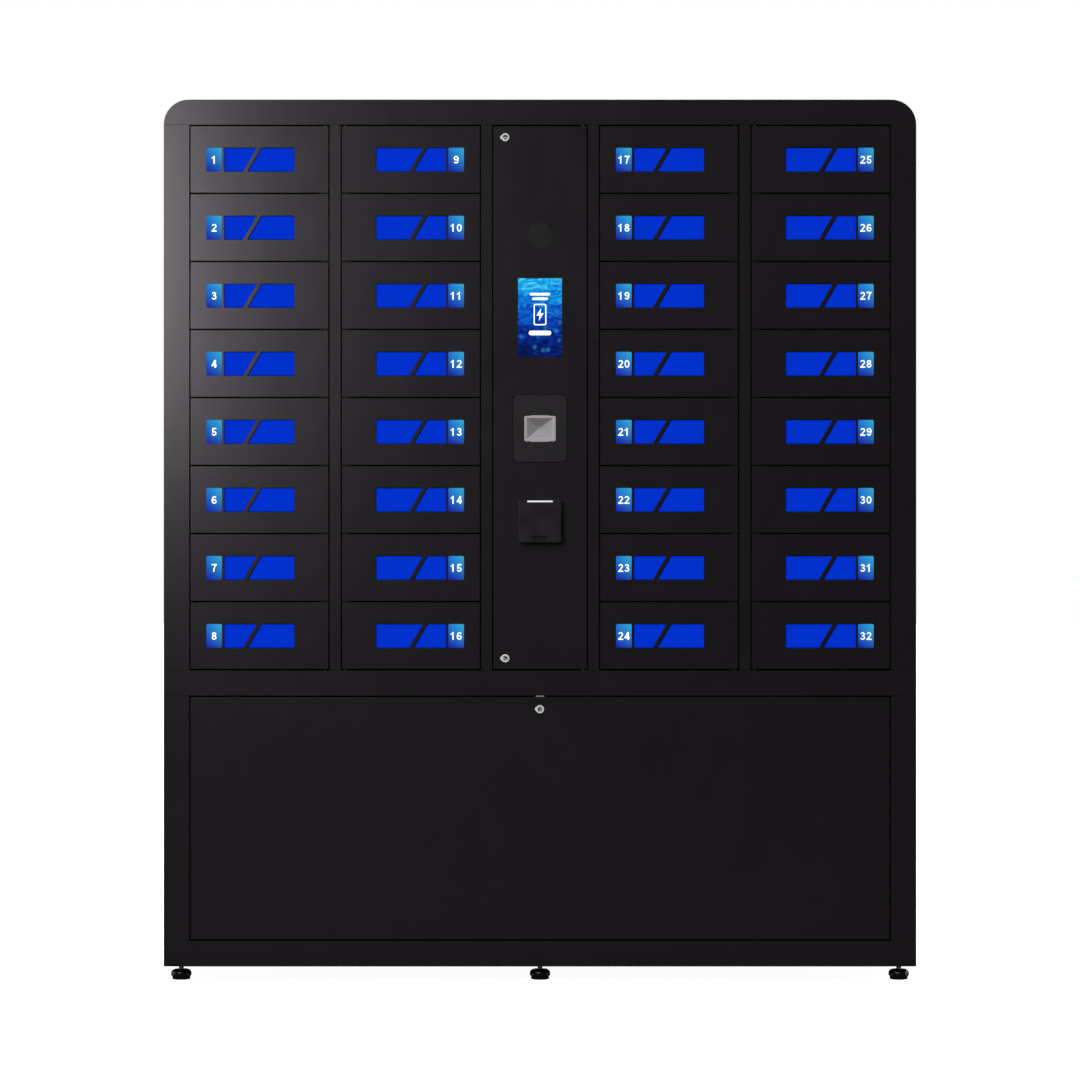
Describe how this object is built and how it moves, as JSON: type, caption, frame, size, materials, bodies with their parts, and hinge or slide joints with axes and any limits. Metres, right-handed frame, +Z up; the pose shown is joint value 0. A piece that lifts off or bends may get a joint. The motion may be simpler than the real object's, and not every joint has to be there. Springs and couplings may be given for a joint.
{
  "type": "phone charging kiosk",
  "caption": "Free-standing black steel locker kiosk for charging phones: small hinged doors with lit windows around a service console with screen, scanner and card reader.",
  "frame": {"origin": "on the floor, in the middle of the kiosk's width and depth", "axes": "+X to the right as seen from the front, +Y to the back, +Z up"},
  "size_m": [1.474, 0.416, 1.7265],
  "materials": {
    "powder_coat_black": "satin black powder coat, very fine texture",
    "zinc_steel": "zinc-plated steel",
    "lock_chrome": "nickel-plated, satin",
    "black_plastic": "moulded, matte",
    "satin_black_plate": "satin, slightly lighter than the door",
    "scanner_grey": "light grey moulded",
    "screen_glass": "lit display behind glossy cover glass",
    "window_blue": "blue acrylic lit from behind",
    "number_tile": "printed blue gradient label with a white number",
    "number_white": "white print",
    "foot_black": "gloss black"
  },
  "bodies": {
    "root": {"top_cover": "powder_coat_black", "side_panels": "powder_coat_black", "face_frame": "powder_coat_black", "back_panel": "powder_coat_black", "base_and_deck": "powder_coat_black", "locker_cells": "powder_coat_black", "electronic_locks": "black_plastic", "charging_outlets": "black_plastic", "hinges_and_strike": "zinc_steel", "power_and_control": "black_plastic"},
    "console_door": {"console_door": "powder_coat_black", "touchscreen": "screen_glass", "scanner_plate": "satin_black_plate", "barcode_scanner": "scanner_grey", "card_reader": "black_plastic", "speaker": "black_plastic", "console_lock_barrels": "lock_chrome"},
    "console_lock_plug_upper": {"console_lock_plug_upper": "lock_chrome"},
    "console_lock_plug_lower": {"console_lock_plug_lower": "lock_chrome"},
    "access_door": {"access_door": "powder_coat_black", "access_lock_barrel": "lock_chrome"},
    "access_lock_plug": {"access_lock_plug": "lock_chrome"},
    "locker_door_01": {"locker_door_01": "powder_coat_black"},
    "locker_door_02": {"locker_door_02": "powder_coat_black"},
    "locker_door_03": {"locker_door_03": "powder_coat_black"},
    "locker_door_04": {"locker_door_04": "powder_coat_black"},
    "locker_door_05": {"locker_door_05": "powder_coat_black"},
    "locker_door_06": {"locker_door_06": "powder_coat_black"},
    "locker_door_07": {"locker_door_07": "powder_coat_black"},
    "locker_door_08": {"locker_door_08": "powder_coat_black"},
    "locker_door_09": {"locker_door_09": "powder_coat_black"},
    "locker_door_10": {"locker_door_10": "powder_coat_black"},
    "locker_door_11": {"locker_door_11": "powder_coat_black"},
    "locker_door_12": {"locker_door_12": "powder_coat_black"},
    "locker_door_13": {"locker_door_13": "powder_coat_black"},
    "locker_door_14": {"locker_door_14": "powder_coat_black"},
    "locker_door_15": {"locker_door_15": "powder_coat_black"},
    "locker_door_16": {"locker_door_16": "powder_coat_black"},
    "locker_door_17": {"locker_door_17": "powder_coat_black"},
    "locker_door_18": {"locker_door_18": "powder_coat_black"},
    "locker_door_19": {"locker_door_19": "powder_coat_black"},
    "locker_door_20": {"locker_door_20": "powder_coat_black"},
    "locker_door_21": {"locker_door_21": "powder_coat_black"},
    "locker_door_22": {"locker_door_22": "powder_coat_black"},
    "locker_door_23": {"locker_door_23": "powder_coat_black"},
    "locker_door_24": {"locker_door_24": "powder_coat_black"},
    "locker_door_25": {"locker_door_25": "powder_coat_black"},
    "locker_door_26": {"locker_door_26": "powder_coat_black"},
    "locker_door_27": {"locker_door_27": "powder_coat_black"},
    "locker_door_28": {"locker_door_28": "powder_coat_black"},
    "locker_door_29": {"locker_door_29": "powder_coat_black"},
    "locker_door_30": {"locker_door_30": "powder_coat_black"},
    "locker_door_31": {"locker_door_31": "powder_coat_black"},
    "locker_door_32": {"locker_door_32": "powder_coat_black"},
    "levelling_foot_1": {"levelling_foot_1": "foot_black"},
    "levelling_foot_2": {"levelling_foot_2": "foot_black"},
    "levelling_foot_3": {"levelling_foot_3": "foot_black"},
    "levelling_foot_4": {"levelling_foot_4": "foot_black"},
    "levelling_foot_5": {"levelling_foot_5": "foot_black"},
    "levelling_foot_6": {"levelling_foot_6": "foot_black"}
  },
  "joints": [
    {"name": "access_door_hinge", "type": "hinge", "parent": "root", "child": "access_door", "pos_m": [0, -0.186, 0.08975], "axis": [1, 0, 0], "range_deg": [0, 90]},
    {"name": "access_lock_turn", "type": "hinge", "parent": "access_door", "child": "access_lock_plug", "pos_m": [0, -0.192, 0.5325], "axis": [0, 1, 0], "range_deg": [0, 90]},
    {"name": "console_door_hinge", "type": "hinge", "parent": "root", "child": "console_door", "pos_m": [0.0845, -0.187, 1.14288], "axis": [0, 0, 1], "range_deg": [0, 90]},
    {"name": "console_lock_lower_turn", "type": "hinge", "parent": "console_door", "child": "console_lock_plug_lower", "pos_m": [-0.068, -0.192, 0.6322], "axis": [0, -1, 0], "range_deg": [0, 90]},
    {"name": "console_lock_upper_turn", "type": "hinge", "parent": "console_door", "child": "console_lock_plug_upper", "pos_m": [-0.068, -0.192, 1.6525], "axis": [0, 1, 0], "range_deg": [0, 90]},
    {"name": "door_01_hinge", "type": "hinge", "parent": "root", "child": "locker_door_01", "pos_m": [-0.421, -0.1875, 1.60925], "axis": [0, 0, 1], "range_deg": [0, 90]},
    {"name": "door_02_hinge", "type": "hinge", "parent": "root", "child": "locker_door_02", "pos_m": [-0.421, -0.1875, 1.476], "axis": [0, 0, 1], "range_deg": [0, 90]},
    {"name": "door_03_hinge", "type": "hinge", "parent": "root", "child": "locker_door_03", "pos_m": [-0.421, -0.1875, 1.34275], "axis": [0, 0, 1], "range_deg": [0, 90]},
    {"name": "door_04_hinge", "type": "hinge", "parent": "root", "child": "locker_door_04", "pos_m": [-0.421, -0.1875, 1.2095], "axis": [0, 0, 1], "range_deg": [0, 90]},
    {"name": "door_05_hinge", "type": "hinge", "parent": "root", "child": "locker_door_05", "pos_m": [-0.421, -0.1875, 1.07625], "axis": [0, 0, 1], "range_deg": [0, 90]},
    {"name": "door_06_hinge", "type": "hinge", "parent": "root", "child": "locker_door_06", "pos_m": [-0.421, -0.1875, 0.943], "axis": [0, 0, 1], "range_deg": [0, 90]},
    {"name": "door_07_hinge", "type": "hinge", "parent": "root", "child": "locker_door_07", "pos_m": [-0.421, -0.1875, 0.80975], "axis": [0, 0, 1], "range_deg": [0, 90]},
    {"name": "door_08_hinge", "type": "hinge", "parent": "root", "child": "locker_door_08", "pos_m": [-0.421, -0.1875, 0.6765], "axis": [0, 0, 1], "range_deg": [0, 90]},
    {"name": "door_09_hinge", "type": "hinge", "parent": "root", "child": "locker_door_09", "pos_m": [-0.3815, -0.1875, 1.60925], "axis": [0, 0, -1], "range_deg": [0, 90]},
    {"name": "door_10_hinge", "type": "hinge", "parent": "root", "child": "locker_door_10", "pos_m": [-0.3815, -0.1875, 1.476], "axis": [0, 0, -1], "range_deg": [0, 90]},
    {"name": "door_11_hinge", "type": "hinge", "parent": "root", "child": "locker_door_11", "pos_m": [-0.3815, -0.1875, 1.34275], "axis": [0, 0, -1], "range_deg": [0, 90]},
    {"name": "door_12_hinge", "type": "hinge", "parent": "root", "child": "locker_door_12", "pos_m": [-0.3815, -0.1875, 1.2095], "axis": [0, 0, -1], "range_deg": [0, 90]},
    {"name": "door_13_hinge", "type": "hinge", "parent": "root", "child": "locker_door_13", "pos_m": [-0.3815, -0.1875, 1.07625], "axis": [0, 0, -1], "range_deg": [0, 90]},
    {"name": "door_14_hinge", "type": "hinge", "parent": "root", "child": "locker_door_14", "pos_m": [-0.3815, -0.1875, 0.943], "axis": [0, 0, -1], "range_deg": [0, 90]},
    {"name": "door_15_hinge", "type": "hinge", "parent": "root", "child": "locker_door_15", "pos_m": [-0.3815, -0.1875, 0.80975], "axis": [0, 0, -1], "range_deg": [0, 90]},
    {"name": "door_16_hinge", "type": "hinge", "parent": "root", "child": "locker_door_16", "pos_m": [-0.3815, -0.1875, 0.6765], "axis": [0, 0, -1], "range_deg": [0, 90]},
    {"name": "door_17_hinge", "type": "hinge", "parent": "root", "child": "locker_door_17", "pos_m": [0.3815, -0.1875, 1.60925], "axis": [0, 0, 1], "range_deg": [0, 90]},
    {"name": "door_18_hinge", "type": "hinge", "parent": "root", "child": "locker_door_18", "pos_m": [0.3815, -0.1875, 1.476], "axis": [0, 0, 1], "range_deg": [0, 90]},
    {"name": "door_19_hinge", "type": "hinge", "parent": "root", "child": "locker_door_19", "pos_m": [0.3815, -0.1875, 1.34275], "axis": [0, 0, 1], "range_deg": [0, 90]},
    {"name": "door_20_hinge", "type": "hinge", "parent": "root", "child": "locker_door_20", "pos_m": [0.3815, -0.1875, 1.2095], "axis": [0, 0, 1], "range_deg": [0, 90]},
    {"name": "door_21_hinge", "type": "hinge", "parent": "root", "child": "locker_door_21", "pos_m": [0.3815, -0.1875, 1.07625], "axis": [0, 0, 1], "range_deg": [0, 90]},
    {"name": "door_22_hinge", "type": "hinge", "parent": "root", "child": "locker_door_22", "pos_m": [0.3815, -0.1875, 0.943], "axis": [0, 0, 1], "range_deg": [0, 90]},
    {"name": "door_23_hinge", "type": "hinge", "parent": "root", "child": "locker_door_23", "pos_m": [0.3815, -0.1875, 0.80975], "axis": [0, 0, 1], "range_deg": [0, 90]},
    {"name": "door_24_hinge", "type": "hinge", "parent": "root", "child": "locker_door_24", "pos_m": [0.3815, -0.1875, 0.6765], "axis": [0, 0, 1], "range_deg": [0, 90]},
    {"name": "door_25_hinge", "type": "hinge", "parent": "root", "child": "locker_door_25", "pos_m": [0.421, -0.1875, 1.60925], "axis": [0, 0, -1], "range_deg": [0, 90]},
    {"name": "door_26_hinge", "type": "hinge", "parent": "root", "child": "locker_door_26", "pos_m": [0.421, -0.1875, 1.476], "axis": [0, 0, -1], "range_deg": [0, 90]},
    {"name": "door_27_hinge", "type": "hinge", "parent": "root", "child": "locker_door_27", "pos_m": [0.421, -0.1875, 1.34275], "axis": [0, 0, -1], "range_deg": [0, 90]},
    {"name": "door_28_hinge", "type": "hinge", "parent": "root", "child": "locker_door_28", "pos_m": [0.421, -0.1875, 1.2095], "axis": [0, 0, -1], "range_deg": [0, 90]},
    {"name": "door_29_hinge", "type": "hinge", "parent": "root", "child": "locker_door_29", "pos_m": [0.421, -0.1875, 1.07625], "axis": [0, 0, -1], "range_deg": [0, 90]},
    {"name": "door_30_hinge", "type": "hinge", "parent": "root", "child": "locker_door_30", "pos_m": [0.421, -0.1875, 0.943], "axis": [0, 0, -1], "range_deg": [0, 90]},
    {"name": "door_31_hinge", "type": "hinge", "parent": "root", "child": "locker_door_31", "pos_m": [0.421, -0.1875, 0.80975], "axis": [0, 0, -1], "range_deg": [0, 90]},
    {"name": "door_32_hinge", "type": "hinge", "parent": "root", "child": "locker_door_32", "pos_m": [0.421, -0.1875, 0.6765], "axis": [0, 0, -1], "range_deg": [0, 90]},
    {"name": "levelling_foot_1_turn", "type": "hinge", "parent": "root", "child": "levelling_foot_1", "pos_m": [-0.706, -0.157, 0], "axis": [0, 0, 1], "continuous": true},
    {"name": "levelling_foot_2_turn", "type": "hinge", "parent": "root", "child": "levelling_foot_2", "pos_m": [0, -0.157, 0], "axis": [0, 0, 1], "continuous": true},
    {"name": "levelling_foot_3_turn", "type": "hinge", "parent": "root", "child": "levelling_foot_3", "pos_m": [0.706, -0.157, 0], "axis": [0, 0, 1], "continuous": true},
    {"name": "levelling_foot_4_turn", "type": "hinge", "parent": "root", "child": "levelling_foot_4", "pos_m": [-0.706, 0.173, 0], "axis": [0, 0, 1], "continuous": true},
    {"name": "levelling_foot_5_turn", "type": "hinge", "parent": "root", "child": "levelling_foot_5", "pos_m": [0, 0.173, 0], "axis": [0, 0, 1], "continuous": true},
    {"name": "levelling_foot_6_turn", "type": "hinge", "parent": "root", "child": "levelling_foot_6", "pos_m": [0.706, 0.173, 0], "axis": [0, 0, 1], "continuous": true}
  ]
}
